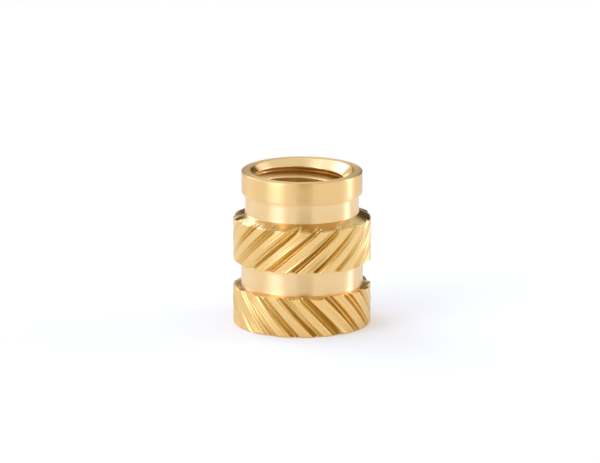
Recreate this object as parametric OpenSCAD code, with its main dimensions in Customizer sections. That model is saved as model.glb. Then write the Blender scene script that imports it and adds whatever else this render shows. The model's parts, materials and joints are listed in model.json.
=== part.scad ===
// Press-in threaded insert: a bush turned from one brass bar, with a smooth collar, two knurled
// bands that lean opposite ways, and a tapped through hole.
// It stands on its knurled foot. The axis is Z and the origin is the centre of the foot.
// All sizes are in millimetres.

/* [Overall] */
// Overall length; the upper band takes up any change
length = 7.9; // [6.2:0.1:14]
// Diameter over the knurled bands
knurl_d = 7; // [5.8:0.1:10]

/* [Thread] */
// Nominal diameter of the screw
thread_d = 5; // [3:0.1:6]
// Pitch of the thread
thread_pitch = 0.8; // [0.35:0.05:1]

/* [Collar and neck] */
// Step in from the knurled bands to the smooth collar
collar_step = 0.425; // [0.1:0.025:0.7]
// Height of the collar's straight wall, rim included
collar_h = 1.15; // [0.3:0.05:2.5]
// Step in from the collar to the neck under it
neck_step = 0.175; // [0.05:0.025:0.3]
// Height of the neck, from the collar down to the upper band
neck_h = 0.97; // [0.2:0.01:2]
// Width of the flat ring at the collar's mouth
rim_w = 0.425; // [0.1:0.025:0.8]
// Chamfer on the rim's outer edge
rim_break = 0.05; // [0.02:0.01:0.15]

/* [Knurled bands] */
// Height of the lower band, chamfers included
lower_h = 2.07; // [1:0.01:3.5]
// Height of the plain groove between the bands
gap_h = 1.23; // [0.2:0.01:2]
// Depth of the plain groove between the bands
gap_depth = 0.4; // [0.2:0.02:0.7]
// Height of the chamfer at the top of the upper band
upper_chamfer_h = 0.31; // [0.1:0.01:0.6]
// Fall of the lower band's shoulder, from the groove out to its edge
shoulder_h = 0.09; // [0.02:0.01:0.4]
// Chamfer round the foot, which breaks its edge
foot_chamfer = 0.08; // [0.02:0.01:0.45]
// Width of the flat ring at the foot's mouth
foot_rim_w = 0.82; // [0.2:0.01:0.9]

/* [Knurl grooves] */
// Number of grooves in each band
groove_count = 18; // [12:1:24]
// Width of a groove at the surface, measured round the band
groove_w = 0.6; // [0.3:0.02:0.8]
// Depth of a groove
groove_depth = 0.35; // [0.1:0.01:0.5]
// Width of the flat at the bottom of a groove
groove_floor_w = 0.08; // [0.04:0.01:0.2]
// Lean of the upper band's grooves from the axis, up to the right
upper_lean = 50; // [25:1:60]
// Lean of the lower band's grooves from the axis, up to the left
lower_lean = 44; // [25:1:60]
// Turn of the upper band's grooves about the axis, at the band's foot
upper_turn = 260; // [0:1:360]
// Turn of the lower band's grooves about the axis, at the foot
lower_turn = 283; // [0:1:360]

/* [Hidden] */

// Facets of the round surfaces
round_fn = 96;
// Steps of a twisted groove along the axis
groove_slices = 10;
// Distance that a cutter runs past the surface it opens
past = 0.3;
// Basic minor diameter of a metric thread: the screw's diameter less this many pitches
minor_per_pitch = 1.0825;

minor_r = (thread_d - minor_per_pitch * thread_pitch) / 2;
knurl_r = knurl_d / 2;
collar_r = knurl_r - collar_step;
neck_r = collar_r - neck_step;
gap_r = knurl_r - gap_depth;
foot_r = knurl_r - foot_chamfer;
mouth_r = collar_r - rim_break - rim_w;
foot_mouth_r = foot_r - foot_rim_w;

// Heights of the edges, from the foot up
lower_top_z = lower_h;
upper_foot_z = lower_top_z + gap_h;
collar_foot_z = length - collar_h;
upper_top_z = collar_foot_z - neck_h;

// The upper grooves run out below their band where the plain groove there is deeper than they are
upper_run_out = gap_depth > groove_depth ? past : 0;

brass = [0.85, 0.68, 0.38];

// The turned blank: one outline from the foot to the rim, spun about the axis.
module blank() {
    rotate_extrude($fn = round_fn) polygon([
        [0, 0],
        [foot_r, 0],
        [knurl_r, foot_chamfer],
        [knurl_r, lower_top_z - shoulder_h],
        [gap_r, lower_top_z],
        [gap_r, upper_foot_z],
        [knurl_r, upper_foot_z],
        [knurl_r, upper_top_z - upper_chamfer_h],
        [neck_r, upper_top_z],
        [neck_r, collar_foot_z],
        [collar_r, collar_foot_z],
        [collar_r, length - rim_break],
        [collar_r - rim_break, length],
        [0, length]
    ]);
}

// Cross-section of one groove: a V with a narrow floor, opening outwards along X.
module groove_section() {
    flare = (groove_w - groove_floor_w) / 2 / groove_depth;
    open_w = groove_w / 2 + flare * past;
    polygon([
        [knurl_r - groove_depth, -groove_floor_w / 2],
        [knurl_r + past, -open_w],
        [knurl_r + past, open_w],
        [knurl_r - groove_depth, groove_floor_w / 2]
    ]);
}

// All the grooves of one band, from z = foot to z = top, and below the foot by run_out. They climb
// round the axis at the angle lean, measured from the axis: a positive lean climbs to the right of
// someone facing the band. One of them starts at the angle turn at the foot.
module knurl_grooves(foot, top, lean, turn, run_out = 0) {
    height = top - foot + run_out;
    climb_rate = tan(lean) / knurl_r * 180 / PI;
    translate([0, 0, foot - run_out])
        linear_extrude(height = height, twist = -climb_rate * height, slices = groove_slices)
            for (i = [0 : groove_count - 1])
                rotate(turn - climb_rate * run_out + i * 360 / groove_count) groove_section();
}

// The drilled hole at the thread's minor diameter, with a 45 degree countersink at each end.
module bore() {
    translate([0, 0, -past]) cylinder(r = minor_r, h = length + 2 * past, $fn = round_fn);
    translate([0, 0, length - mouth_r])
        cylinder(r1 = 0, r2 = mouth_r + past, h = mouth_r + past, $fn = round_fn);
    translate([0, 0, -past])
        cylinder(r1 = foot_mouth_r + past, r2 = 0, h = foot_mouth_r + past, $fn = round_fn);
}

module insert() {
    color(brass)
        difference() {
            blank();
            knurl_grooves(0, lower_top_z, -lower_lean, lower_turn, run_out = past);
            knurl_grooves(
                upper_foot_z, upper_top_z, upper_lean, upper_turn, run_out = upper_run_out
            );
            bore();
        }
}

insert();
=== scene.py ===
"""Studio scene of a brass threaded insert: a turned collar and neck, two knurled bands whose
grooves lean opposite ways, and a tapped hole.

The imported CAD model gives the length, the diameters and the hole. This script replaces its one node
with a finely meshed copy that has the helical thread and the uneven grooves of real knurling.
"""

import json
import logging
import math
from abc import ABC, abstractmethod
from dataclasses import dataclass
from enum import Enum
from typing import Any

import bpy
import numpy as np
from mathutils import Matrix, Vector


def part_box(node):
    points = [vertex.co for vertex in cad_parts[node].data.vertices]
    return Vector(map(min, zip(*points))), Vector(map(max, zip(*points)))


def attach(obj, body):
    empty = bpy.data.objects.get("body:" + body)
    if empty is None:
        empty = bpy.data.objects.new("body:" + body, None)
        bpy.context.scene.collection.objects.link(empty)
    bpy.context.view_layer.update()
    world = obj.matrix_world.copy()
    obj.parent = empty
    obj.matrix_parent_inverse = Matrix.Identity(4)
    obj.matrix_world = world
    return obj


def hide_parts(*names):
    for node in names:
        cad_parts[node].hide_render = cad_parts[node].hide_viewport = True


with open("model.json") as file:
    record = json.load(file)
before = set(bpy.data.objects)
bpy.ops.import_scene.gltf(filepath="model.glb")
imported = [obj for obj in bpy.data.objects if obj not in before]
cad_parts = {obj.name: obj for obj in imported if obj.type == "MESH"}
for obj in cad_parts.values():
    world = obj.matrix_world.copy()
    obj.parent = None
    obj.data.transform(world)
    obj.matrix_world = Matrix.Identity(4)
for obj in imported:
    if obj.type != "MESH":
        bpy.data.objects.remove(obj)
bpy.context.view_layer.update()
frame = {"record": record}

MM = 0.001
TURN = 2.0 * math.pi

log = logging.getLogger("insert")


# ---------------------------------------------------------------------------------------------
# Shader arithmetic
# ---------------------------------------------------------------------------------------------


class Value:
    """One output socket of a shader node. Those that carry a number can be reckoned with."""

    def __init__(self, graph: "Graph", socket: bpy.types.NodeSocket | None) -> None:
        """Wraps a socket.

        Args:
            graph: the node tree that the socket belongs to.
            socket: the output socket, or None for a node that has none.
        """
        self.graph = graph
        self.socket = socket

    def math(self, operation: str, first: Any, second: Any) -> "Value":
        """Adds one Math node and returns its result."""
        return self.graph.node("ShaderNodeMath", {"operation": operation}, {0: first, 1: second})

    def __add__(self, other: Any) -> "Value":
        """self + other."""
        return self.math("ADD", self, other)

    def __radd__(self, other: Any) -> "Value":
        """other + self."""
        return self.math("ADD", other, self)

    def __sub__(self, other: Any) -> "Value":
        """self - other."""
        return self.math("SUBTRACT", self, other)

    def __rsub__(self, other: Any) -> "Value":
        """other - self."""
        return self.math("SUBTRACT", other, self)

    def __mul__(self, other: Any) -> "Value":
        """self * other."""
        return self.math("MULTIPLY", self, other)

    def __rmul__(self, other: Any) -> "Value":
        """other * self."""
        return self.math("MULTIPLY", other, self)

    def __pow__(self, other: Any) -> "Value":
        """self raised to other."""
        return self.math("POWER", self, other)


class Graph:
    """A material's or the world's node tree."""

    def __init__(self, tree: bpy.types.NodeTree) -> None:
        """Empties the tree and wraps it."""
        self.tree = tree
        tree.nodes.clear()

    def node(
        self,
        kind: str,
        settings: dict[str, Any] | None = None,
        inputs: dict[int | str, Any] | None = None,
        output: int | str = 0,
    ) -> Value:
        """Adds a node.

        Args:
            kind: the node's type, such as ShaderNodeMath.
            settings: the node's own properties, set before its sockets.
            inputs: a number, a tuple or a Value for each input socket, by index or name.
            output: the output socket that is returned, by index or name.

        Returns:
            The chosen output.
        """
        node = self.tree.nodes.new(kind)
        for name, setting in (settings or {}).items():
            setattr(node, name, setting)
        for key, given in (inputs or {}).items():
            if isinstance(given, Value):
                self.tree.links.new(given.socket, node.inputs[key])
            else:
                node.inputs[key].default_value = given
        sockets = node.outputs
        return Value(self, sockets[output] if len(sockets) else None)

    def ramp(self, factor: Value, low: float, high: float) -> Value:
        """A smooth step from 0 to 1.

        Args:
            factor: what the step depends on.
            low: where it leaves 0.
            high: where it reaches 1.

        Returns:
            The height of the step.
        """
        settings = {"interpolation_type": "SMOOTHSTEP", "clamp": True}
        inputs = {"Value": factor, "From Min": low, "From Max": high, "To Min": 0.0, "To Max": 1.0}
        return self.node("ShaderNodeMapRange", settings, inputs, output="Result")

    def step(self, angle: Value, edge: float, width: float) -> Value:
        """A smooth step up from 0 to 1, centred on an edge; edge and width are in degrees."""
        return self.ramp(angle, math.radians(edge - 0.5 * width), math.radians(edge + 0.5 * width))

    def mix(self, factor: Value, first: Any, second: Any) -> Value:
        """Mixes two colours, through the node's colour sockets: first where factor is 0, second
        where it is 1."""
        settings = {"data_type": "RGBA", "clamp_factor": True}
        return self.node("ShaderNodeMix", settings, {0: factor, 6: first, 7: second}, output=2)

    def noise(self, vector: Value, scale: float, detail: float, roughness: float = 0.5) -> Value:
        """Noise of mean about 0.5 at a place given by vector."""
        inputs = {"Vector": vector, "Scale": scale, "Detail": detail, "Roughness": roughness}
        return self.node("ShaderNodeTexNoise", {}, inputs, output="Fac")

    def axes(self, vector: Value) -> tuple[Value, Value, Value]:
        """The three coordinates of a vector."""
        split = self.node("ShaderNodeSeparateXYZ", {}, {0: vector}).socket.node
        return tuple(Value(self, split.outputs[i]) for i in range(3))

    def vector(self, x: Any, y: Any, z: Any) -> Value:
        """A vector from three coordinates."""
        return self.node("ShaderNodeCombineXYZ", {}, {0: x, 1: y, 2: z})

    def turned(self, vector: Value, angle: Any) -> Value:
        """A vector turned about the Z axis by an angle."""
        settings = {"rotation_type": "Z_AXIS"}
        return self.node("ShaderNodeVectorRotate", settings, {"Vector": vector, "Angle": angle})

    def hollow(self) -> Value:
        """How deep the surface lies in a groove or in the thread, from 0 to 1: the mesh's own
        attribute."""
        return self.node("ShaderNodeAttribute", {"attribute_name": HOLLOW}, output="Fac")


# ---------------------------------------------------------------------------------------------
# Finishes
# ---------------------------------------------------------------------------------------------

Colour = tuple[float, float, float, float]
HOLLOW = "hollow"


class Surface(Enum):
    """The insert's finishes, and their material slots."""

    COLLAR = 0
    NECK = 1
    LOWER = 2
    UPPER = 3
    CHAMFER = 4
    MOUTH = 5
    TAPPED = 6
    RIM = 7


@dataclass(frozen=True)
class BrassFinish(ABC):
    """Bare brass. A kind of surface has its own fine marks and its own dark colour: stains on the
    turned surfaces, painted shade with streaks and blotches in the knurled grooves, and painted shade
    in the thread.

    Args:
        name: the material's name.
        base: colour of the clean brass.
        dark: colour of its stains and of its painted shade.
        roughness: mean roughness.
        roughness_swing: difference in roughness between the marks' feet and their tops.
        anisotropic: how far reflections are drawn out along one direction, from 0 to 1.
        bump: strength of the marks in the normal.
        bump_distance: height of the marks.
        spread_turn: turn of the direction that reflections are drawn out in, in whole turns.
    """

    name: str
    base: Colour
    dark: Colour
    roughness: float
    roughness_swing: float
    anisotropic: float
    bump: float
    bump_distance: float
    spread_turn: float = 0.25

    @abstractmethod
    def marks(self, graph: Graph, place: Value) -> Value:
        """The height of the fine marks, from 0 to 1.

        Args:
            graph: the material's graph.
            place: Object coordinates.

        Returns:
            The height over the surface.
        """

    @abstractmethod
    def stains_and_shade(self, graph: Graph, place: Value) -> Value:
        """How much of the dark colour shows, as stains and as painted shade in the hollows.

        Args:
            graph: the material's graph.
            place: Object coordinates.

        Returns:
            The share over the surface, from 0 to 1.
        """

    def material(self) -> bpy.types.Material:
        """Builds the material.

        Returns:
            A metal whose colour, roughness and normal vary over the surface.
        """
        material = bpy.data.materials.new(self.name)
        material.use_nodes = True
        graph = Graph(material.node_tree)
        place = graph.node("ShaderNodeTexCoord", output="Object")
        marks = self.marks(graph, place)
        normal = graph.node(
            "ShaderNodeBump",
            {},
            {"Strength": self.bump, "Distance": self.bump_distance, "Height": marks},
        )
        # the dark colour mixed in here is stains, and painted shade in the knurled grooves and the
        # thread
        shader = graph.node(
            "ShaderNodeBsdfPrincipled",
            {},
            {
                "Base Color": graph.mix(self.stains_and_shade(graph, place), self.base, self.dark),
                "Metallic": 1.0,
                "Roughness": self.roughness + (marks - 0.5) * self.roughness_swing,
                "Anisotropic": self.anisotropic,
                "Anisotropic Rotation": self.spread_turn,
                "Normal": normal,
            },
        )
        graph.node("ShaderNodeOutputMaterial", {}, {"Surface": shader})
        return material


@dataclass(frozen=True)
class TurnedFinish(BrassFinish):
    """Lathe-turned brass: fine rings about the axis, which spread reflections along it.

    Args:
        ring_scale: fineness of the rings.
        waver: how far a ring strays from its circle, as a share of the distance across it.
        cloud_scale: fineness of the stains.
        cloud_edges: noise at which a stain starts and at which it is full.
        cloud_share: how much of the dark colour a full stain shows.
    """

    ring_scale: float = 9000.0
    waver: float = 0.02
    cloud_scale: float = 500.0
    cloud_edges: tuple[float, float] = (0.45, 0.8)
    cloud_share: float = 0.35

    def marks(self, graph: Graph, place: Value) -> Value:
        """Rings: noise of the height and the radius only, with a little waver round the axis.

        Args:
            graph: the material's graph.
            place: Object coordinates.

        Returns:
            The height over the surface, from 0 to 1.
        """
        x, y, z = graph.axes(place)
        radius = (x * x + y * y) ** 0.5
        waver = (x + y) * self.waver
        rings = graph.vector(radius + waver, 0.0, z + waver)
        return graph.noise(rings, self.ring_scale, detail=4.0, roughness=0.7)

    def stains_and_shade(self, graph: Graph, place: Value) -> Value:
        """Broad, faint clouds."""
        cloud = graph.noise(place, self.cloud_scale, detail=3.0)
        return graph.ramp(cloud, *self.cloud_edges) * self.cloud_share


@dataclass(frozen=True)
class KnurledFinish(BrassFinish):
    """Knurled brass: fine drag lines along the grooves, and painted shade that darkens the groove
    floors.

    Args:
        climb: turn of the grooves per metre of height, in radians.
        squeeze: how much shorter the noise's distances are along a groove than across it.
        drag_scale: fineness of the drag lines.
        streak_scale: fineness of the dark streaks.
        streak_share: how far the streaks move the edge of the dark floors.
        blotch_scale: fineness of the blotches.
        blotch_share: how far the blotches move that edge.
    """

    climb: float = 0.0
    squeeze: float = 0.04
    drag_scale: float = 14000.0
    streak_scale: float = 5000.0
    # streak_share: how far the streaks move the edge of the painted shade on the groove floors.
    streak_share: float = 1.1
    blotch_scale: float = 2500.0
    blotch_share: float = 0.6

    def along_grooves(self, graph: Graph, place: Value) -> Value:
        """A place that hardly changes along a groove.

        Args:
            graph: the material's graph.
            place: Object coordinates.

        Returns:
            The place, turned back about the axis by the climb times its height, and squeezed along
            the axis.
        """
        _, _, z = graph.axes(place)
        x, y, _ = graph.axes(graph.turned(place, z * (-self.climb)))
        return graph.vector(x, y, z * self.squeeze)

    def marks(self, graph: Graph, place: Value) -> Value:
        """Drag lines: fine noise that runs along the grooves."""
        along = self.along_grooves(graph, place)
        return graph.noise(along, self.drag_scale, detail=4.0, roughness=0.65)

    def stains_and_shade(self, graph: Graph, place: Value) -> Value:
        """Painted shade from the depth below the band's surface, made uneven by streaks along the
        grooves and blotches.

        Args:
            graph: the material's graph.
            place: Object coordinates.

        Returns:
            The share of the dark colour, from 0 to 1.
        """
        along = self.along_grooves(graph, place)
        streak = graph.noise(along, self.streak_scale, detail=3.0, roughness=0.6)
        blotch = graph.noise(place, self.blotch_scale, detail=4.0, roughness=0.6)
        uneven = (streak - 0.5) * self.streak_share + (blotch - 0.5) * self.blotch_share
        # painted shade: the deeper a point lies in a groove, the darker it is
        return graph.ramp(graph.hollow() + uneven, 0.0, 1.0)


@dataclass(frozen=True)
class TappedFinish(BrassFinish):
    """The tapped hole: a fine grain, and painted shade that darkens it towards the root of the
    thread.

    Args:
        grain_scale: fineness of the grain.
        dark_edges: depth in the thread at which the painted shade starts and at which it is full.
    """

    grain_scale: float = 4000.0
    dark_edges: tuple[float, float] = (0.25, 1.0)

    def marks(self, graph: Graph, place: Value) -> Value:
        """An even grain."""
        return graph.noise(place, self.grain_scale, detail=3.0)

    def stains_and_shade(self, graph: Graph, place: Value) -> Value:
        """Painted shade: the depth of the thread."""
        return graph.ramp(graph.hollow(), *self.dark_edges)


def turned_finishes() -> dict[Surface, BrassFinish]:
    """Finishes of the turned surfaces. The lathe's marks are coarse on the outside and fine on the
    two chamfers. Their base colours are lit and shaded copies of one brass: the neck's and the
    mouth's are paler as painted light, and the rim's and the chamfer's are darker as painted shade.

    Returns:
        The finish of each surface.
    """
    fine = dict(
        roughness=0.22,
        roughness_swing=0.08,
        anisotropic=0.6,
        bump=0.2,
        bump_distance=0.004 * MM,
    )
    coarse = dict(
        roughness=0.34,
        roughness_swing=0.12,
        anisotropic=1.0,
        bump=0.3,
        bump_distance=0.004 * MM,
    )
    collar = TurnedFinish(
        "turned_brass_collar",
        base=(0.93, 0.625, 0.272, 1.0),
        dark=(0.88, 0.54, 0.20, 1.0),
        **coarse,
    )
    # painted reflection: the neck's base, also used on the plain groove and the foot, is paler and
    # pinker than the collar's, for the white room that it reflects
    neck = TurnedFinish(
        "turned_brass_neck",
        base=(0.93, 0.67, 0.345, 1.0),
        dark=(0.88, 0.61, 0.28, 1.0),
        **{**coarse, "roughness": 0.30},
    )
    # painted shade: the rim's base is darker than the collar's, for the dark room behind the insert
    # that it reflects
    rim = TurnedFinish(
        "turned_brass_rim",
        base=(0.82, 0.56, 0.25, 1.0),
        dark=(0.74, 0.48, 0.18, 1.0),
        **{**coarse, "anisotropic": 0.85},
    )
    # painted shade: the chamfer's base is darker than the collar's, for the shaded space under the
    # neck that it reflects
    chamfer = TurnedFinish(
        "turned_brass_chamfer",
        base=(0.70, 0.49, 0.20, 1.0),
        dark=(0.60, 0.38, 0.12, 1.0),
        **fine,
    )
    # painted light: the mouth's base is paler than the collar's, to make up for the dimmer room that
    # it reflects
    mouth = TurnedFinish(
        "turned_brass_mouth",
        base=(0.97, 0.72, 0.36, 1.0),
        dark=(0.90, 0.60, 0.25, 1.0),
        **fine,
    )
    return {
        Surface.COLLAR: collar,
        Surface.NECK: neck,
        Surface.RIM: rim,
        Surface.CHAMFER: chamfer,
        Surface.MOUTH: mouth,
    }


def cut_finishes(lower_climb: float, upper_climb: float) -> dict[Surface, BrassFinish]:
    """Finishes of the knurled bands and of the tapped hole.

    Args:
        lower_climb: turn of the lower band's grooves per metre of height, in radians.
        upper_climb: turn of the upper band's.

    Returns:
        The finish of each surface.
    """
    knurled = dict(
        base=(0.87, 0.58, 0.228, 1.0),
        # dark: colour of the painted shade in the grooves, and of the streaks and blotches
        dark=(0.62, 0.42, 0.115, 1.0),
        roughness=0.28,
        roughness_swing=0.16,
        anisotropic=0.0,
        bump=0.6,
        bump_distance=0.008 * MM,
    )
    lower = KnurledFinish("knurled_brass_lower", climb=lower_climb, **knurled)
    upper = KnurledFinish("knurled_brass_upper", climb=upper_climb, **knurled)
    tapped = TappedFinish(
        "tapped_brass",
        base=(0.92, 0.64, 0.27, 1.0),
        # dark: colour of the painted shade at the root of the thread
        dark=(0.57, 0.31, 0.08, 1.0),
        roughness=0.38,
        roughness_swing=0.10,
        anisotropic=0.0,
        bump=0.2,
        bump_distance=0.004 * MM,
    )
    return {Surface.LOWER: lower, Surface.UPPER: upper, Surface.TAPPED: tapped}


# ---------------------------------------------------------------------------------------------
# Surfaces
# ---------------------------------------------------------------------------------------------

Array = np.ndarray


@dataclass(frozen=True)
class Waves:
    """Smooth noise that closes round the axis.

    Args:
        offset: number added to the seed, so that one band's noises differ.
        turns: largest number of waves round the axis.
        count: number of cosines that are summed.
        reach: distance along the axis over which it changes.
    """

    offset: int
    turns: int
    count: int
    reach: float

    def noise(self, seed: int, angle: Array, along: Array) -> Array:
        """The noise, whose standard deviation is 1.

        The sum of a few cosines, each with a whole number of turns round the axis, a random rate
        along it and a random phase.

        Args:
            seed: the band's seed.
            angle: angle about the axis.
            along: distance along the axis.

        Returns:
            The noise, in the shape of angle and along together.
        """
        rng = np.random.default_rng(seed + self.offset)
        round_rate = rng.integers(1, self.turns + 1, self.count)
        along_rate = rng.normal(0.0, 1.0, self.count) / self.reach
        phase = rng.uniform(0.0, TURN, self.count)
        total = np.zeros(np.broadcast(angle, along).shape)
        for k in range(self.count):
            total += np.cos(round_rate[k] * angle + along_rate[k] * along + phase[k])
        return total * math.sqrt(2.0 / self.count)


WANDER = Waves(offset=1, turns=9, count=8, reach=1.2 * MM)
STRAY = Waves(offset=2, turns=14, count=8, reach=0.8 * MM)
SCRATCHES = Waves(offset=3, turns=150, count=48, reach=3.0 * MM)
RAGGED_EDGE = Waves(offset=5, turns=26, count=16, reach=6.0 * MM)
LOWER_SEED = 11
UPPER_SEED = 23


def soft_max(first: Array, second: Array, width: float) -> Array:
    """The larger of two arrays, with the crease rounded over width: the mean plus half the root of
    the squared difference and the squared width."""
    return 0.5 * (first + second + np.sqrt((first - second) ** 2 + width**2))


def between(first: float, second: float, share: float) -> float:
    """The number a share of the way from first to second."""
    return first + share * (second - first)


@dataclass(frozen=True)
class Corner:
    """A corner of a turned outline, rounded by an arc.

    Args:
        radius: distance from the axis.
        height: distance along the axis.
        round: radius of the arc that rounds the corner, or 0.
    """

    radius: float
    height: float
    round: float = 0.0


ARC_STEPS = 3


def outline(corners: list[Corner], spacing: list[float]) -> tuple[Array, Array]:
    """Samples a turned outline with rounded corners.

    Each corner is replaced by an arc that touches both of its sides, and each straight side
    between two arcs is divided evenly.

    Args:
        corners: the corners in order; the first and last aren't rounded.
        spacing: the largest distance between points, for each side.

    Returns:
        The radii and the heights of the points.
    """
    points = np.array([(c.radius, c.height) for c in corners])
    rows = [points[:1]]
    for k in range(1, len(corners)):
        start = rows[-1][-1]
        side = points[k] - points[k - 1]
        side = side / np.linalg.norm(side)
        last = k == len(corners) - 1
        trim = 0.0
        if not last and corners[k].round > 0.0:
            after = points[k + 1] - points[k]
            after = after / np.linalg.norm(after)
            bend = math.acos(float(np.clip(side @ after, -1.0, 1.0)))
            trim = corners[k].round * math.tan(bend / 2.0)
        end = points[k] - side * trim
        steps = max(1, math.ceil(np.linalg.norm(end - start) / spacing[k - 1]))
        share = np.linspace(0.0, 1.0, steps + 1)[1:, None]
        rows.append(start + (end - start) * share)
        if trim > 0.0:
            turned = side[0] * after[1] - side[1] * after[0]
            inward = np.array([-side[1], side[0]]) * (1.0 if turned > 0.0 else -1.0)
            centre = end + inward * corners[k].round
            sweep = np.linspace(0.0, bend, ARC_STEPS + 1)[1:, None]
            rows.append(centre + corners[k].round * (side * np.sin(sweep) - inward * np.cos(sweep)))
    found = np.vstack(rows)
    return found[:, 0], found[:, 1]


@dataclass(frozen=True)
class ToolPass:
    """One pass of the knurling tool, which leaves a V in every groove.

    Args:
        width: width of the V at the surface.
        depth: depth of the V.
        place: distance of its centre from the groove's, towards the groove's own side.
        place_spread: spread of that place from groove to groove.
        place_wander: how far it wanders along a groove.
        width_wander: how far the width wanders along a groove, as a share of it.
        depth_spread: spread of the depth from groove to groove, as a share of it.
        depth_wander: how far the depth wanders along a groove, as a share of it.
        depth_limit: largest share of the depth that a groove reaches.
        width_spread: spread of the width from groove to groove, as a share of it.
    """

    width: float
    depth: float
    place: float
    place_spread: float
    place_wander: float
    width_wander: float
    depth_spread: float
    depth_wander: float
    depth_limit: float
    width_spread: float = 0.22

    def cut(
        self,
        arc: Array,
        side: Array,
        press: Array,
        draws: tuple[Array, Array, Array],
        waves: tuple[Array, Array],
    ) -> Array:
        """Depth of the V: its depth, less twice that for each width away from its centre.

        Args:
            arc: distance of each point from its groove's centre, round the band.
            side: 1 or -1, the side of the groove that the pass is moved to.
            press: share of the depth that the tool was pressed to.
            draws: three random numbers for each point's groove: place, width and depth.
            waves: two wave noises: of the place and the depth, and of the width.

        Returns:
            The depth below the surface, negative beside the V.
        """
        centre = self.place * side + self.place_spread * draws[0] + self.place_wander * waves[0]
        width = self.width * (1.0 + self.width_spread * draws[1] + self.width_wander * waves[1])
        share = 1.0 + self.depth_spread * draws[2] + self.depth_wander * waves[0]
        depth = self.depth * press * np.minimum(share, self.depth_limit)
        return depth * (1.0 - np.abs(arc - centre) / (0.5 * width))


FIRST_PASS = ToolPass(
    width=0.48 * MM,
    depth=0.31 * MM,
    place=-0.026 * MM,
    place_spread=0.04 * MM,
    place_wander=0.012 * MM,
    width_wander=0.05,
    depth_spread=0.132,
    depth_wander=0.04,
    depth_limit=1.12,
)
SECOND_PASS = ToolPass(
    width=0.34 * MM,
    depth=0.21 * MM,
    place=0.234 * MM,
    place_spread=0.0468 * MM,
    place_wander=0.015 * MM,
    width_wander=0.0,
    depth_spread=0.308,
    depth_wander=0.08,
    depth_limit=2.0,
)


@dataclass
class KnurlBand:
    """One knurled band: grooves that climb round the bar at a steady lean.

    Args:
        low: height of the band's foot.
        high: height of the band's top.
        lean: angle of the grooves from the axis; positive climbs to the right, seen from outside.
        turn: angle of the first groove about the axis, at the band's foot.
        seed: seed of the unevenness.
        radius: radius over the band.
        deep_side: angle about the axis where the knurl was pressed deepest; the far side is as
            deep.
        count: number of grooves.
        draw_limit: largest random number that a groove draws, either way.
        turned_over: draw below which a groove has its second pass on its other side.
        shallow: depth midway between the two deep sides, as a share of the full depth.
        crease: width over which the crease between the two passes is rounded.
        burr: height of a land's edges above its middle.
        land_reach: distance from a land's middle to the height of its edges.
        scratch: depth of the fine lines along the lands and grooves.
    """

    low: float
    high: float
    lean: float
    turn: float
    seed: int
    radius: float
    deep_side: float
    count: int = 18
    draw_limit: float = 2.0
    turned_over: float = -0.8
    shallow: float = 0.30
    crease: float = 0.01 * MM
    burr: float = 0.03 * MM
    land_reach: float = 0.30 * MM
    scratch: float = 0.010 * MM

    @property
    def rate(self) -> float:
        """Turn of the grooves per metre of height, in radians."""
        return math.tan(self.lean) / self.radius

    @property
    def pitch(self) -> float:
        """Angle between two grooves."""
        return TURN / self.count

    @property
    def sweep(self) -> float:
        """Turn of the grooves from the band's foot to its top."""
        return self.rate * (self.high - self.low)

    def press(self, phase: Array, height: Array) -> Array:
        """How deep the tool was pressed: it falls from two opposite sides to the places between
        them, as a cosine of twice the angle.

        Args:
            phase: angle past the first groove, which is constant along a groove.
            height: height of each point.

        Returns:
            The share of the full depth.
        """
        angle = self.turn + self.rate * (height - self.low) + phase
        near = 0.5 + 0.5 * np.cos(2.0 * (angle - self.deep_side))
        return self.shallow + (1.0 - self.shallow) * near

    def cut(self, phase: Array, height: Array) -> Array:
        """Depth of the knurling below the band's surface.

        Each groove is a V, and beside it lies the shallower V of a second pass of the tool, so that
        a low ridge stands between them. The depth, width and place of both vary from groove to
        groove and wander a little along it. The land between two grooves is hollowed by the height
        of its burrs, as a parabola across its width.

        Args:
            phase: angle past the first groove, which is constant along a groove.
            height: height of each point.

        Returns:
            The depth, zero at the proudest edges.
        """
        rng = np.random.default_rng(self.seed)
        place = phase / self.pitch
        index = np.round(place).astype(int)
        arc = (place - index) * self.pitch * self.radius
        drawn = rng.normal(0.0, 1.0, (6, self.count))
        drawn = np.clip(drawn, -self.draw_limit, self.draw_limit)[:, index % self.count]
        first_place, width, first_depth, second_place, second_depth, over = drawn
        wander = WANDER.noise(self.seed, phase, height)
        stray = STRAY.noise(self.seed, phase, height)
        scratches = SCRATCHES.noise(self.seed, phase, height)
        side = np.where(over > self.turned_over, 1.0, -1.0)
        press = self.press(phase, height)
        first = FIRST_PASS.cut(
            arc, side, press, (first_place, width, first_depth), (wander, stray)
        )
        second = SECOND_PASS.cut(
            arc, side, press, (side * second_place, width, second_depth), (stray, stray)
        )
        middle = np.abs(arc) - 0.5 * self.pitch * self.radius
        land = self.burr * (1.0 - (middle / self.land_reach) ** 2)
        rough = np.maximum(soft_max(first, second, self.crease), land) + self.scratch * scratches
        return np.maximum(rough, 0.0)


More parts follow.
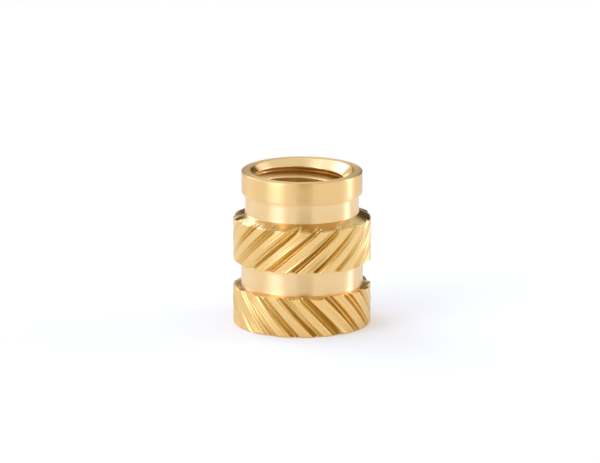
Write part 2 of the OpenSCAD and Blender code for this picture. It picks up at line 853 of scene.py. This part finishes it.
@dataclass
class Thread:
    """A right-hand metric thread, cut into a plain hole.

    Args:
        minor: radius of the plain hole.
        pitch: distance between turns.
        start: height of a root at angle zero.
        half_angle: angle of each flank from square to the axis.
        root_share: width of the flat root, as a share of the pitch.
        crest_share: width of the flat crest, as a share of the pitch.
    """

    minor: float
    pitch: float = 0.8 * MM
    start: float = -0.07 * MM
    half_angle: float = math.radians(30.0)
    root_share: float = 0.125
    crest_share: float = 0.25

    @property
    def depth(self) -> float:
        """Depth of the thread: the flank's length along the axis over the tangent of its angle."""
        flank = 0.5 * self.pitch * (1.0 - self.root_share - self.crest_share)
        return flank / math.tan(self.half_angle)

    def radius(self, angle: Array, height: Array) -> Array:
        """Radius of the cut.

        The distance along the axis from the nearest root is found first: the height less the climb
        of the thread to that angle, wrapped to half a pitch either side. The radius is the major
        radius within the flat root, and falls along the flank beyond it.

        Args:
            angle: angle about the axis.
            height: height of each point.

        Returns:
            The radius at each point, less than the hole's where the thread leaves it alone.
        """
        climb = height - self.start - self.pitch * angle / TURN
        away = np.abs((climb / self.pitch + 0.5) % 1.0 - 0.5) * self.pitch
        flank = np.maximum(away - 0.5 * self.root_share * self.pitch, 0.0)
        return self.minor + self.depth - flank / math.tan(self.half_angle)


@dataclass
class Insert:
    """The whole insert, one closed surface.

    The outer wall and the hole are two grids. Both run round the axis in columns and along their
    outline in rows, and they meet in the flat rings of the mouth and the foot.

    Args:
        length: overall length.
        knurl_radius: radius over the knurled bands.
        hole_radius: radius of the plain hole.
        collar_radius: radius of the collar.
        collar_height: height of the collar's wall.
        neck_step: step in from the collar to the neck.
        neck_height: height of the neck.
        rim_width: width of the flat ring at the mouth.
        rim_break: rounding of the rim's outer edge.
        lower_height: height of the lower band.
        gap_height: height of the plain groove between the bands.
        gap_depth: depth of the plain groove.
        upper_chamfer: height of the chamfer at the top of the upper band.
        shoulder: fall of the lower band's shoulder.
        foot_chamfer: chamfer round the foot.
        foot_rim: width of the flat ring at the foot.
        lower_lean: lean of the lower band's grooves.
        upper_lean: lean of the upper band's grooves.
        lower_turn: angle of the lower band's first groove at its foot.
        upper_turn: angle of the upper band's first groove at its foot.
        lower_deep_side: angle where the lower band's grooves are deepest.
        upper_deep_side: angle where the upper band's grooves are deepest.
        ragged: size of the waves in the bands' edges.
        shoulder_ragged: size of the waves in the lower band's shoulder edge.
        wear_reach: distance from an edge over which its waves fade.
        sliver: rise of a flat underside, so that the outline's heights always grow.
        run_out: fall of the grooves' depth along the upper chamfer, as a share of the outline's
            fall.
        edge_round: rounding of the bands' edges.
        corner_round: rounding of the corners at the ends of the plain groove and the neck.
        collar_round: rounding of the collar's lower edge.
        tooth_columns: columns of the outer grid for each groove.
        columns_per_hole_column: columns of the outer grid for each of the hole's.
        crowding: how closely the columns crowd at the grooves.
        fine_row: distance between rows on the bands.
        plain_row: distance between rows elsewhere.
        thread_row: distance between the hole's rows near the mouth.
        thread_shown: depth below the mouth down to which they lie so close.
        deep_rows: rows in the rest of the hole.
        rim_join: place where the two grids meet in the mouth's ring, as a share of its width.
        foot_join: place where they meet in the foot's ring, as a share of its width.
        join_step: distance from there to the hole's first and last rows.
        thread_crease: width over which the thread's start in the countersinks is rounded.
        crease_reach: depth behind the wall at which the thread no longer rounds it.
    """

    length: float
    knurl_radius: float
    hole_radius: float
    collar_radius: float
    collar_height: float = 1.15 * MM
    neck_step: float = 0.175 * MM
    neck_height: float = 0.97 * MM
    rim_width: float = 0.425 * MM
    rim_break: float = 0.05 * MM
    lower_height: float = 2.07 * MM
    gap_height: float = 1.23 * MM
    gap_depth: float = 0.40 * MM
    upper_chamfer: float = 0.31 * MM
    shoulder: float = 0.09 * MM
    foot_chamfer: float = 0.08 * MM
    foot_rim: float = 0.82 * MM
    lower_lean: float = math.radians(-44.0)
    upper_lean: float = math.radians(50.0)
    lower_turn: float = math.radians(283.0)
    upper_turn: float = math.radians(260.0)
    lower_deep_side: float = math.radians(-60.0)
    upper_deep_side: float = math.radians(-93.0)
    ragged: float = 0.028 * MM
    shoulder_ragged: float = 0.045 * MM
    wear_reach: float = 0.25 * MM
    sliver: float = 0.02 * MM
    run_out: float = 0.6
    edge_round: float = 0.03 * MM
    corner_round: float = 0.015 * MM
    collar_round: float = 0.045 * MM
    tooth_columns: int = 32
    columns_per_hole_column: int = 6
    crowding: float = 0.45
    fine_row: float = 0.074 * MM
    plain_row: float = 0.25 * MM
    thread_row: float = 0.024 * MM
    thread_shown: float = 2.4 * MM
    deep_rows: int = 127
    rim_join: float = 0.5
    foot_join: float = 0.3
    join_step: float = 0.04 * MM
    thread_crease: float = 0.015 * MM
    crease_reach: float = 0.25 * MM

    def __post_init__(self) -> None:
        """Works out the heights and radii, and places the bands and the thread."""
        self.foot_radius = self.knurl_radius - self.foot_chamfer
        self.gap_radius = self.knurl_radius - self.gap_depth
        self.neck_radius = self.collar_radius - self.neck_step
        self.mouth_radius = self.collar_radius - self.rim_break - self.rim_width
        self.foot_mouth_radius = self.foot_radius - self.foot_rim
        self.upper_foot = self.lower_height + self.gap_height
        self.collar_foot = self.length - self.collar_height
        self.upper_top = self.collar_foot - self.neck_height
        self.lower_edge = self.lower_height - self.shoulder
        self.upper_edge = self.upper_top - self.upper_chamfer
        self.rim_join_radius = between(self.mouth_radius, self.collar_radius, self.rim_join)
        self.foot_join_radius = between(self.foot_mouth_radius, self.foot_radius, self.foot_join)
        self.lower_band = KnurlBand(
            low=0.0,
            high=self.lower_height,
            lean=self.lower_lean,
            turn=self.lower_turn,
            seed=LOWER_SEED,
            radius=self.knurl_radius,
            deep_side=self.lower_deep_side,
        )
        self.upper_band = KnurlBand(
            low=self.upper_foot,
            high=self.upper_top,
            lean=self.upper_lean,
            turn=self.upper_turn,
            seed=UPPER_SEED,
            radius=self.knurl_radius,
            deep_side=self.upper_deep_side,
        )
        self.thread = Thread(self.hole_radius)

    def outer_outline(self) -> tuple[Array, Array]:
        """The turned outline from the foot's flat ring, up the outside, to the mouth's.

        The undersides of the upper band and of the collar rise by a sliver, so that the heights
        always grow.

        Returns:
            The radii and the heights of its points.
        """
        edge, inner = self.edge_round, self.corner_round
        corners = [
            Corner(self.foot_join_radius, 0.0),
            Corner(self.foot_radius, 0.0, edge),
            Corner(self.knurl_radius, self.foot_chamfer, edge),
            Corner(self.knurl_radius, self.lower_edge, edge),
            Corner(self.gap_radius, self.lower_height, inner),
            Corner(self.gap_radius, self.upper_foot, inner),
            Corner(self.knurl_radius, self.upper_foot + self.sliver, edge),
            Corner(self.knurl_radius, self.upper_edge, edge),
            Corner(self.neck_radius, self.upper_top, inner),
            Corner(self.neck_radius, self.collar_foot, inner),
            Corner(self.collar_radius, self.collar_foot + self.sliver, self.collar_round),
            Corner(self.collar_radius, self.length, self.rim_break),
            Corner(self.rim_join_radius, self.length),
        ]
        fine, plain = self.fine_row, self.plain_row
        spacing = [plain, fine, fine, fine, plain, plain, fine, fine, plain, plain, plain, plain]
        return outline(corners, spacing)

    def hole_heights(self) -> tuple[Array, Array]:
        """The hole's rows from the mouth to the foot.

        The radius is the largest of the plain hole and the two 45 degree countersinks, whose radii
        fall by as much as the depth below the face.

        Returns:
            The rows' radii before the thread is cut, and their heights.
        """
        shown = np.arange(0.0, self.thread_shown, self.thread_row)
        deep = np.linspace(shown[-1], self.length, self.deep_rows + 1)[1:]
        depth = np.concatenate([shown, deep])
        height = self.length - depth
        sink = np.maximum(self.mouth_radius - depth, self.foot_mouth_radius - height)
        return np.maximum(sink, self.hole_radius), height

    def columns(self) -> Array:
        """Angles of the outer grid's columns past the first groove.

        They crowd together at the grooves: an even spacing less a sine of one wave to a tooth.
        """
        even = np.arange(self.lower_band.count * self.tooth_columns) / self.tooth_columns
        return self.lower_band.pitch * (even - self.crowding / TURN * np.sin(TURN * even))

    def twist(self, height: Array) -> Array:
        """Turn of the outer grid's columns at each height.

        It follows the grooves in both bands. In the plain groove between them it makes up the
        little that is left, so that the columns that follow the lower band's grooves meet the upper
        band's.

        Args:
            height: heights.

        Returns:
            The angle that is added to each column's own.
        """
        lower, upper = self.lower_band, self.upper_band
        offset = upper.turn - lower.turn
        upper_start = offset + lower.pitch * round((lower.sweep - offset) / lower.pitch)
        turns = [0.0, lower.sweep, upper_start, upper_start + upper.sweep]
        return lower.turn + np.interp(height, [lower.low, lower.high, upper.low, upper.high], turns)

    def wear(self, band: KnurlBand, edge: float, phase: Array, height: Array) -> Array:
        """How far each point near an edge of a band lies above its place, so that the edge is
        ragged: smooth noise round the axis, which fades away from the edge.

        The waves of the lower band's shoulder edge fade within the shoulder.

        Args:
            band: the band.
            edge: height of the edge.
            phase: angle of each column past the first groove.
            height: height of each row.

        Returns:
            The rise, rows by columns.
        """
        on_shoulder = edge < self.lower_height
        above = self.shoulder if on_shoulder else self.wear_reach
        size = self.shoulder_ragged if on_shoulder else self.ragged
        heights = [edge - self.wear_reach, edge, edge + above]
        fade = np.interp(height, heights, [0.0, size, 0.0])
        return RAGGED_EDGE.noise(band.seed, phase[None, :], height[:, None]) * fade[:, None]

    def run_out_share(self, height: Array) -> Array:
        """How much shallower the grooves get as the outline falls away from the band's full radius,
        as a share of that fall. They are cut straight, and run out a little more slowly than that
        along the upper band's chamfer."""
        return np.where(height > self.upper_edge, self.run_out, 1.0)

    def outer_grid(self) -> tuple[Array, Array, Array]:
        """The outer wall.

        Each point's radius is the turned outline's less the depth of the knurling. Where the
        outline falls away from the band's full radius, the depth falls by a share of that, so that
        the grooves run out along the chamfers. The bands' edges are ragged, and the foot's flat
        ring shrinks where grooves reach it.

        Returns:
            The points, rows by columns by 3; how deep each lies in a groove, from 0 to 1; and the
            turned outline's heights.
        """
        profile, height = self.outer_outline()
        phase = self.columns()
        level = np.repeat(height[:, None], len(phase), axis=1)
        radius = np.repeat(profile[:, None], len(phase), axis=1)
        hollow = np.zeros_like(radius)
        share = self.run_out_share(height)
        level += self.wear(self.lower_band, self.lower_edge, phase, height)
        level += self.wear(self.upper_band, self.upper_foot, phase, height)
        level += self.wear(self.upper_band, self.upper_edge, phase, height)
        for band in (self.lower_band, self.upper_band):
            inside = (height > band.low) & (height < band.high)
            worn = profile[inside, None]
            cut = band.cut(phase[None, :], height[inside, None])
            left = np.maximum(cut - share[inside, None] * (self.knurl_radius - worn), 0.0)
            radius[inside] = worn - left
            hollow[inside] = np.clip(left / FIRST_PASS.depth, 0.0, 1.0)
        foot_cut = self.lower_band.cut(phase, np.zeros_like(phase)) - self.foot_chamfer
        ring = height <= 0.0
        join = self.foot_join_radius
        shrink = 1.0 - np.maximum(foot_cut, 0.0) / (self.foot_radius - join)
        radius[ring] = join + (radius[ring] - join) * shrink
        angle = phase[None, :] + self.twist(level)
        points = np.stack([radius * np.cos(angle), radius * np.sin(angle), level], axis=-1)
        return points, hollow, height

    def hole_grid(self) -> tuple[Array, Array, Array]:
        """The hole, from the mouth's flat ring down to the foot's.

        Its columns start on evenly chosen columns of the outer grid at the rim, and unwind to the
        same ones at the foot.

        Returns:
            The points, rows by columns by 3; the depth of the thread at each, from 0 to 1; and the
            rows' heights.
        """
        radius, height = self.hole_heights()
        first = self.rim_join_radius - self.join_step
        last = self.foot_join_radius - self.join_step
        rim = np.array([first, 0.5 * (first + self.mouth_radius)])
        foot = np.array([0.5 * (last + self.foot_mouth_radius), last])
        radius = np.concatenate([rim, radius, foot])
        height = np.concatenate([np.full_like(rim, self.length), height, np.zeros_like(foot)])
        column = self.columns()[:: self.columns_per_hole_column]
        ends = self.twist(np.array([0.0, self.length]))
        turn = ends[0] + (ends[1] - ends[0]) * height / self.length
        angle = column[None, :] + turn[:, None]
        level = np.repeat(height[:, None], len(column), axis=1)
        plain = np.repeat(radius[:, None], len(column), axis=1)
        cut = self.thread.radius(angle, level)
        reached = cut > plain - self.crease_reach
        reached[: len(rim)] = False
        reached[-len(foot) :] = False
        wall = np.where(reached, soft_max(plain, cut, self.thread_crease), plain)
        hollow = np.clip((wall - plain) / self.thread.depth, 0.0, 1.0)
        points = np.stack([wall * np.cos(angle), wall * np.sin(angle), level], axis=-1)
        return points, hollow, height

    def build(self) -> bpy.types.Object:
        """Makes the mesh object.

        Returns:
            The insert, at the origin, with its finishes not yet on.
        """
        outer, outer_hollow, outer_height = self.outer_grid()
        hole, hole_hollow, hole_height = self.hole_grid()
        columns, hole_columns = outer.shape[1], hole.shape[1]
        base = len(outer) * columns
        quads = np.vstack(
            [grid_faces(len(outer), columns, 0), grid_faces(len(hole), hole_columns, base)]
        )
        last_outer = base - columns
        last_hole = base + (len(hole) - 1) * hole_columns
        rim = fan_faces(last_outer, columns, base, hole_columns, flip=False)
        foot = fan_faces(0, columns, last_hole, hole_columns, flip=True)
        points = np.vstack([outer.reshape(-1, 3), hole.reshape(-1, 3)])
        mesh = bpy.data.meshes.new("insert")
        fill_mesh(mesh, points, quads, np.vstack([rim, foot]))
        hollow = np.concatenate([outer_hollow.ravel(), hole_hollow.ravel()])
        layer = mesh.attributes.new(HOLLOW, "FLOAT", "POINT")
        layer.data.foreach_set("value", hollow.astype(np.float32))
        slots = np.concatenate(
            [
                np.repeat(self.outer_slots(outer_height), columns),
                np.repeat(self.hole_slots(hole_height), hole_columns),
                np.full(len(rim), Surface.RIM.value),
                np.full(len(foot), Surface.NECK.value),
            ]
        )
        mesh.polygons.foreach_set("material_index", slots.astype(np.int32))
        piece = bpy.data.objects.new("brass_insert", mesh)
        bpy.context.scene.collection.objects.link(piece)
        return piece

    def dress(self, piece: bpy.types.Object) -> None:
        """Puts the finish of each surface in its slot.

        Args:
            piece: the insert's object.
        """
        finishes = turned_finishes() | cut_finishes(self.lower_band.rate, self.upper_band.rate)
        for surface in Surface:
            piece.data.materials.append(finishes[surface].material())

    def outer_slots(self, height: Array) -> Array:
        """The finish of each row of faces in the outer wall, from its middle height.

        Args:
            height: heights of the rows of points.

        Returns:
            The material slots.
        """
        middle = 0.5 * (height[1:] + height[:-1])
        slots = np.full(len(middle), Surface.NECK.value)
        slots[middle > self.collar_foot] = Surface.COLLAR.value
        slots[middle >= self.length] = Surface.RIM.value
        slots[(middle > 0.0) & (middle < self.lower_height)] = Surface.LOWER.value
        upper_wall = (middle > self.upper_foot + self.sliver) & (middle < self.upper_edge)
        slots[upper_wall] = Surface.UPPER.value
        slots[(middle > self.upper_edge) & (middle < self.upper_top)] = Surface.CHAMFER.value
        return slots

    def hole_slots(self, height: Array) -> Array:
        """The finish of each row of faces in the hole, from its middle height.

        Args:
            height: heights of the rows of points.

        Returns:
            The material slots.
        """
        middle = 0.5 * (height[1:] + height[:-1])
        slots = np.full(len(middle), Surface.TAPPED.value)
        slots[middle > self.length - (self.mouth_radius - self.hole_radius)] = Surface.MOUTH.value
        slots[middle >= self.length] = Surface.RIM.value
        slots[middle <= 0.0] = Surface.NECK.value
        return slots


def grid_faces(rows: int, columns: int, base: int) -> Array:
    """Quads of a grid that closes round its columns.

    A quad joins a point to the next column, then up a row and back, so that faces look outwards
    where the columns go anticlockwise and the rows go up.

    Args:
        rows: number of rows.
        columns: number of columns.
        base: index of the first vertex.

    Returns:
        Vertex indices, one row of four for each quad.
    """
    row = np.arange(rows - 1)[:, None] * columns
    column = np.arange(columns)[None, :]
    beside = (column + 1) % columns
    above = row + columns
    quads = np.stack([row + column, row + beside, above + beside, above + column], -1)
    return quads.reshape(-1, 4) + base


def fan_faces(many: int, many_count: int, few: int, few_count: int, flip: bool) -> Array:
    """Triangles that join a ring of many points to a ring of few.

    Each side of the coarse ring takes a whole number of sides of the fine ring. The first half of
    them fan from its first end, the second half from its other end, and one triangle lies between.

    Args:
        many: index of the fine ring's first vertex.
        many_count: its number of vertices.
        few: index of the coarse ring's first vertex.
        few_count: its number of vertices.
        flip: turns the faces over.

    Returns:
        Vertex indices, one row of three for each triangle.
    """
    share = many_count // few_count
    half = share // 2
    side = np.arange(few_count)
    near = few + side
    far = few + (side + 1) % few_count
    found = []
    for k in range(share):
        start = many + (side * share + k) % many_count
        end = many + (side * share + k + 1) % many_count
        found.append(np.stack([start, end, near if k < half else far], -1))
        if k + 1 == half:
            found.append(np.stack([end, far, near], -1))
    triangles = np.vstack(found)
    return triangles[:, ::-1] if flip else triangles


def fill_mesh(mesh: bpy.types.Mesh, points: Array, quads: Array, triangles: Array) -> None:
    """Puts vertices, quads and triangles into an empty mesh, as whole arrays.

    Args:
        mesh: the mesh.
        points: vertices by 3.
        quads: quads by 4.
        triangles: triangles by 3.
    """
    corners = np.concatenate([quads.ravel(), triangles.ravel()]).astype(np.int32)
    starts = np.concatenate(
        [np.arange(len(quads)) * 4, len(quads) * 4 + np.arange(len(triangles)) * 3]
    ).astype(np.int32)
    mesh.vertices.add(len(points))
    mesh.vertices.foreach_set("co", points.astype(np.float32).ravel())
    mesh.loops.add(len(corners))
    mesh.loops.foreach_set("vertex_index", corners)
    mesh.polygons.add(len(starts))
    mesh.polygons.foreach_set("loop_start", starts)
    mesh.polygons.foreach_set("use_smooth", np.ones(len(starts), bool))
    mesh.update(calc_edges=True)
    mesh.validate()


# ---------------------------------------------------------------------------------------------
# Studio
# ---------------------------------------------------------------------------------------------


@dataclass(frozen=True)
class Patch:
    """A part of the room, as the insert sees it: a softbox, a card or a lit wall.

    Angles are in degrees. Azimuth is measured to the right of the camera's side, and elevation up
    from the table.

    Args:
        tone: colour of the patch, where 1 is white.
        left: azimuth of its left edge.
        right: azimuth of its right edge.
        low: elevation of its lower edge.
        high: elevation of its upper edge.
        soft: width over which an edge fades: left, right, low and high.
    """

    tone: tuple[float, float, float]
    left: float
    right: float
    low: float
    high: float
    soft: tuple[float, float, float, float]

    def mask(self, graph: Graph, direction: Value) -> Value:
        """How much of the patch shows in a direction, from 0 to 1.

        Args:
            graph: the world's graph.
            direction: unit vector from the insert.

        Returns:
            The product of four smooth steps, one at each edge.
        """
        middle = math.radians(0.5 * (self.left + self.right))
        x, y, z = graph.axes(graph.turned(direction, -middle))
        azimuth = graph.node("ShaderNodeMath", {"operation": "ARCTAN2"}, {0: x, 1: 0.0 - y})
        elevation = graph.node("ShaderNodeMath", {"operation": "ARCSINE"}, {0: z})
        half = 0.5 * (self.right - self.left)
        inside = graph.step(azimuth, -half, self.soft[0])
        inside = inside * (1.0 - graph.step(azimuth, half, self.soft[1]))
        inside = inside * graph.step(elevation, self.low, self.soft[2])
        return inside * (1.0 - graph.step(elevation, self.high, self.soft[3]))


WHITE = (1.0, 1.0, 1.0, 1.0)
ROOM = (
    # the low wall behind the insert, and a duller card at its left
    Patch((0.90, 0.85, 0.70), 120.0, 240.0, -5.0, 24.0, (30.0, 30.0, 5.0, 14.0)),
    Patch((0.66, 0.60, 0.44), -166.0, -134.0, -25.0, 20.0, (8.0, 10.0, 5.0, 8.0)),
    # three dark cards behind the insert
    Patch((0.12, 0.09, 0.04), 158.0, 176.0, -5.0, 34.0, (6.0, 5.0, 5.0, 8.0)),
    Patch((0.12, 0.09, 0.04), 184.0, 198.0, -5.0, 34.0, (5.0, 5.0, 5.0, 8.0)),
    Patch((0.09, 0.06, 0.02), 138.0, 170.0, 3.0, 23.0, (6.0, 6.0, 5.0, 5.0)),
    # the ceiling: dimmer on the right, cooler on the left
    Patch((0.78, 0.78, 0.78), -50.0, 150.0, 42.0, 90.0, (16.0, 20.0, 10.0, 5.0)),
    Patch((1.02, 1.13, 1.32), -160.0, -44.0, 38.0, 90.0, (8.0, 14.0, 8.0, 8.0)),
    # softboxes: two at the back on the left, one at the front on the left, one on the right
    Patch((1.80, 2.05, 2.90), -140.0, -116.0, 18.0, 62.0, (6.0, 8.0, 6.0, 8.0)),
    Patch((2.60, 3.00, 4.50), -157.0, -137.0, 24.0, 46.0, (5.0, 6.0, 6.0, 8.0)),
    Patch((2.40, 2.60, 3.30), -66.0, -38.0, -5.0, 58.0, (20.0, 16.0, 5.0, 15.0)),
    Patch((3.50, 3.80, 5.60), 97.0, 111.0, -5.0, 37.0, (8.0, 8.0, 5.0, 8.0)),
    # a warm card by the camera
    Patch((0.42, 0.36, 0.17), -10.0, 20.0, -5.0, 60.0, (12.0, 2.0, 5.0, 15.0)),
)


@dataclass
class Studio:
    """A white room with a few softboxes and cards, a white table, and the camera.

    Args:
        target: the insert's middle.
        elevation: angle of the camera above the table.
        distance: distance of the camera from the point that it looks at.
        frame_width: width of what the camera sees at that distance.
        sensor: width of the camera's sensor, in its own unit.
        near_clip: nearest distance that the camera sees.
        far_clip: furthest distance that the camera sees.
        aim_up: distance of the point that the camera looks at above the target.
        aim_left: distance of that point to the left of the target.
        table_radius: radius of the table.
        table_rings: rings of points in the table.
        table_spokes: points in each ring.
        table_tone: reflectance of the table.
        table_glow: light that the table gives off, which keeps its shadow soft.
        fade_from: distance at which the table starts to fade, as a share of its radius.
        fade_to: distance at which it is plain white, as a share of its radius.
    """

    target: Vector
    elevation: float = math.radians(13.9)
    distance: float = 0.40
    frame_width: float = 30.5 * MM
    sensor: float = 36.0
    near_clip: float = 0.01
    far_clip: float = 10.0
    aim_up: float = 0.72 * MM
    aim_left: float = 0.10 * MM
    table_radius: float = 0.14
    table_rings: int = 24
    table_spokes: int = 96
    table_tone: float = 0.86
    table_glow: float = 0.12
    fade_from: float = 0.3
    fade_to: float = 0.9

    def camera(self) -> bpy.types.Object:
        """Places the camera in front of the insert, a little above it, with a long lens.

        Returns:
            The camera.
        """
        data = bpy.data.cameras.new("camera")
        data.sensor_width = self.sensor
        data.lens = self.sensor * self.distance / self.frame_width
        data.clip_start = self.near_clip
        data.clip_end = self.far_clip
        camera = bpy.data.objects.new("camera", data)
        back = Vector((0.0, -math.cos(self.elevation), math.sin(self.elevation)))
        up = Vector((0.0, math.sin(self.elevation), math.cos(self.elevation)))
        aim = self.target + up * self.aim_up - Vector((self.aim_left, 0.0, 0.0))
        camera.location = aim + back * self.distance
        camera.rotation_euler = (-back).to_track_quat("-Z", "Y").to_euler()
        bpy.context.scene.collection.objects.link(camera)
        bpy.context.scene.camera = camera
        return camera

    def world(self) -> None:
        """The room. It is plain white to the camera, and its patches light the insert."""
        world = bpy.data.worlds.new("white_room")
        world.use_nodes = True
        graph = Graph(world.node_tree)
        direction = graph.node("ShaderNodeTexCoord", output="Generated")
        tone: Any = WHITE
        for patch in ROOM:
            tone = graph.mix(patch.mask(graph, direction), tone, patch.tone + (1.0,))
        tone = graph.mix(graph.node("ShaderNodeLightPath", output="Is Camera Ray"), tone, WHITE)
        room = graph.node("ShaderNodeBackground", {}, {"Color": tone, "Strength": 1.0})
        graph.node("ShaderNodeOutputWorld", {}, {"Surface": room})
        bpy.context.scene.world = world

    def table_mesh(self) -> bpy.types.Mesh:
        """A disc whose points lie on rings about the insert, at radii that grow evenly.

        Returns:
            The mesh, with its faces upwards.
        """
        rings, spokes = self.table_rings, self.table_spokes
        radius = np.linspace(0.0, self.table_radius, rings + 1)[1:, None]
        angle = np.arange(spokes)[None, :] * TURN / spokes
        x, y = radius * np.cos(angle), radius * np.sin(angle)
        points = np.stack([x, y, np.zeros_like(x)], -1).reshape(-1, 3)
        points = np.vstack([points, np.zeros((1, 3))])
        quads = grid_faces(rings, spokes, 0)[:, ::-1]
        column = np.arange(spokes)
        middle = np.full(spokes, len(points) - 1)
        triangles = np.stack([column, (column + 1) % spokes, middle], -1)
        mesh = bpy.data.meshes.new("table")
        fill_mesh(mesh, points, quads, triangles)
        return mesh

    def table_material(self) -> bpy.types.Material:
        """Matt white that keeps a shadow, and fades into the room's white away from the insert.

        Returns:
            The material.
        """
        material = bpy.data.materials.new("white_table")
        material.use_nodes = True
        graph = Graph(material.node_tree)
        x, y, _ = graph.axes(graph.node("ShaderNodeTexCoord", output="Object"))
        away = (x * x + y * y) ** 0.5
        edges = (self.fade_from * self.table_radius, self.fade_to * self.table_radius)
        fade = graph.ramp(away, *edges)
        tone = (self.table_tone,) * 3 + (1.0,)
        board = graph.node("ShaderNodeBsdfDiffuse", {}, {"Color": tone})
        glow = {"Color": WHITE, "Strength": self.table_glow}
        lit = graph.node("ShaderNodeEmission", {}, glow)
        board = graph.node("ShaderNodeAddShader", {}, {0: board, 1: lit})
        plain = graph.node("ShaderNodeEmission", {}, {"Color": WHITE, "Strength": 1.0})
        both = graph.node("ShaderNodeMixShader", {}, {0: fade, 1: board, 2: plain})
        graph.node("ShaderNodeOutputMaterial", {}, {"Surface": both})
        return material

    def table(self) -> bpy.types.Object:
        """A round white table top.

        Returns:
            The table, which is not a piece of the insert.
        """
        mesh = self.table_mesh()
        mesh.materials.append(self.table_material())
        table = bpy.data.objects.new("table", mesh)
        bpy.context.scene.collection.objects.link(table)
        return table

    def build(self) -> None:
        """Sets up the whole studio."""
        self.world()
        self.table()
        self.camera()
        bpy.context.scene.view_settings.view_transform = "Standard"


# ---------------------------------------------------------------------------------------------
# Assembly
# ---------------------------------------------------------------------------------------------


def mount_radius(name: str) -> float:
    """Radius of the record's mount of that name, in metres."""
    mount = next(m for m in frame["record"]["mounts"] if m["name"] == name)
    return mount["dims"]["r_mm"] * MM


def main() -> None:
    """Builds the insert and the studio, and reports each piece."""
    logging.basicConfig(level=logging.INFO, format="%(name)s: %(message)s")
    low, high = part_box("insert")
    insert = Insert(
        length=high.z - low.z,
        knurl_radius=0.5 * (high.x - low.x),
        hole_radius=mount_radius("thread"),
        collar_radius=mount_radius("pilot"),
    )
    piece = insert.build()
    insert.dress(piece)
    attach(piece, "root")
    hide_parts("insert")
    log.info("%s: %d faces", piece.name, len(piece.data.polygons))
    Studio(target=Vector((0.0, 0.0, 0.5 * insert.length))).build()


if __name__ == "__main__":
    main()
